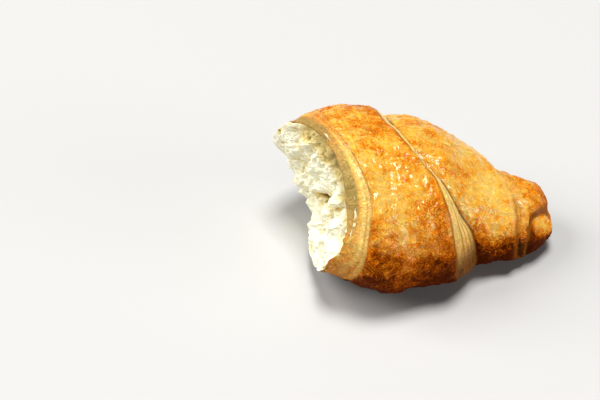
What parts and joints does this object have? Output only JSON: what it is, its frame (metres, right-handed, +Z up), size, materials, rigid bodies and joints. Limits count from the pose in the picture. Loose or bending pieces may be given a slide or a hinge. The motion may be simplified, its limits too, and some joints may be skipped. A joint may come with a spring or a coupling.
{
  "type": "torn croissant half",
  "caption": "Torn half of a butter croissant: a browned, flaky layered crust wound round to a blunt tip, open pale crumb at the tear, flat underside.",
  "frame": {"origin": "centre of the bounding box in plan, on the plane of the flat underside", "axes": "+X runs along the longest extent, from the torn end to the blunt tip; +Z is up; the tip bends towards -Y"},
  "size_m": [0.0898, 0.0776, 0.051],
  "materials": {
    "browned_crust": "egg-washed, browned, softly glossy crust",
    "pale_crumb": "matte, soft, cream-coloured torn crumb"
  },
  "bodies": {
    "root": {"croissant_half": "browned_crust"}
  },
  "joints": []
}
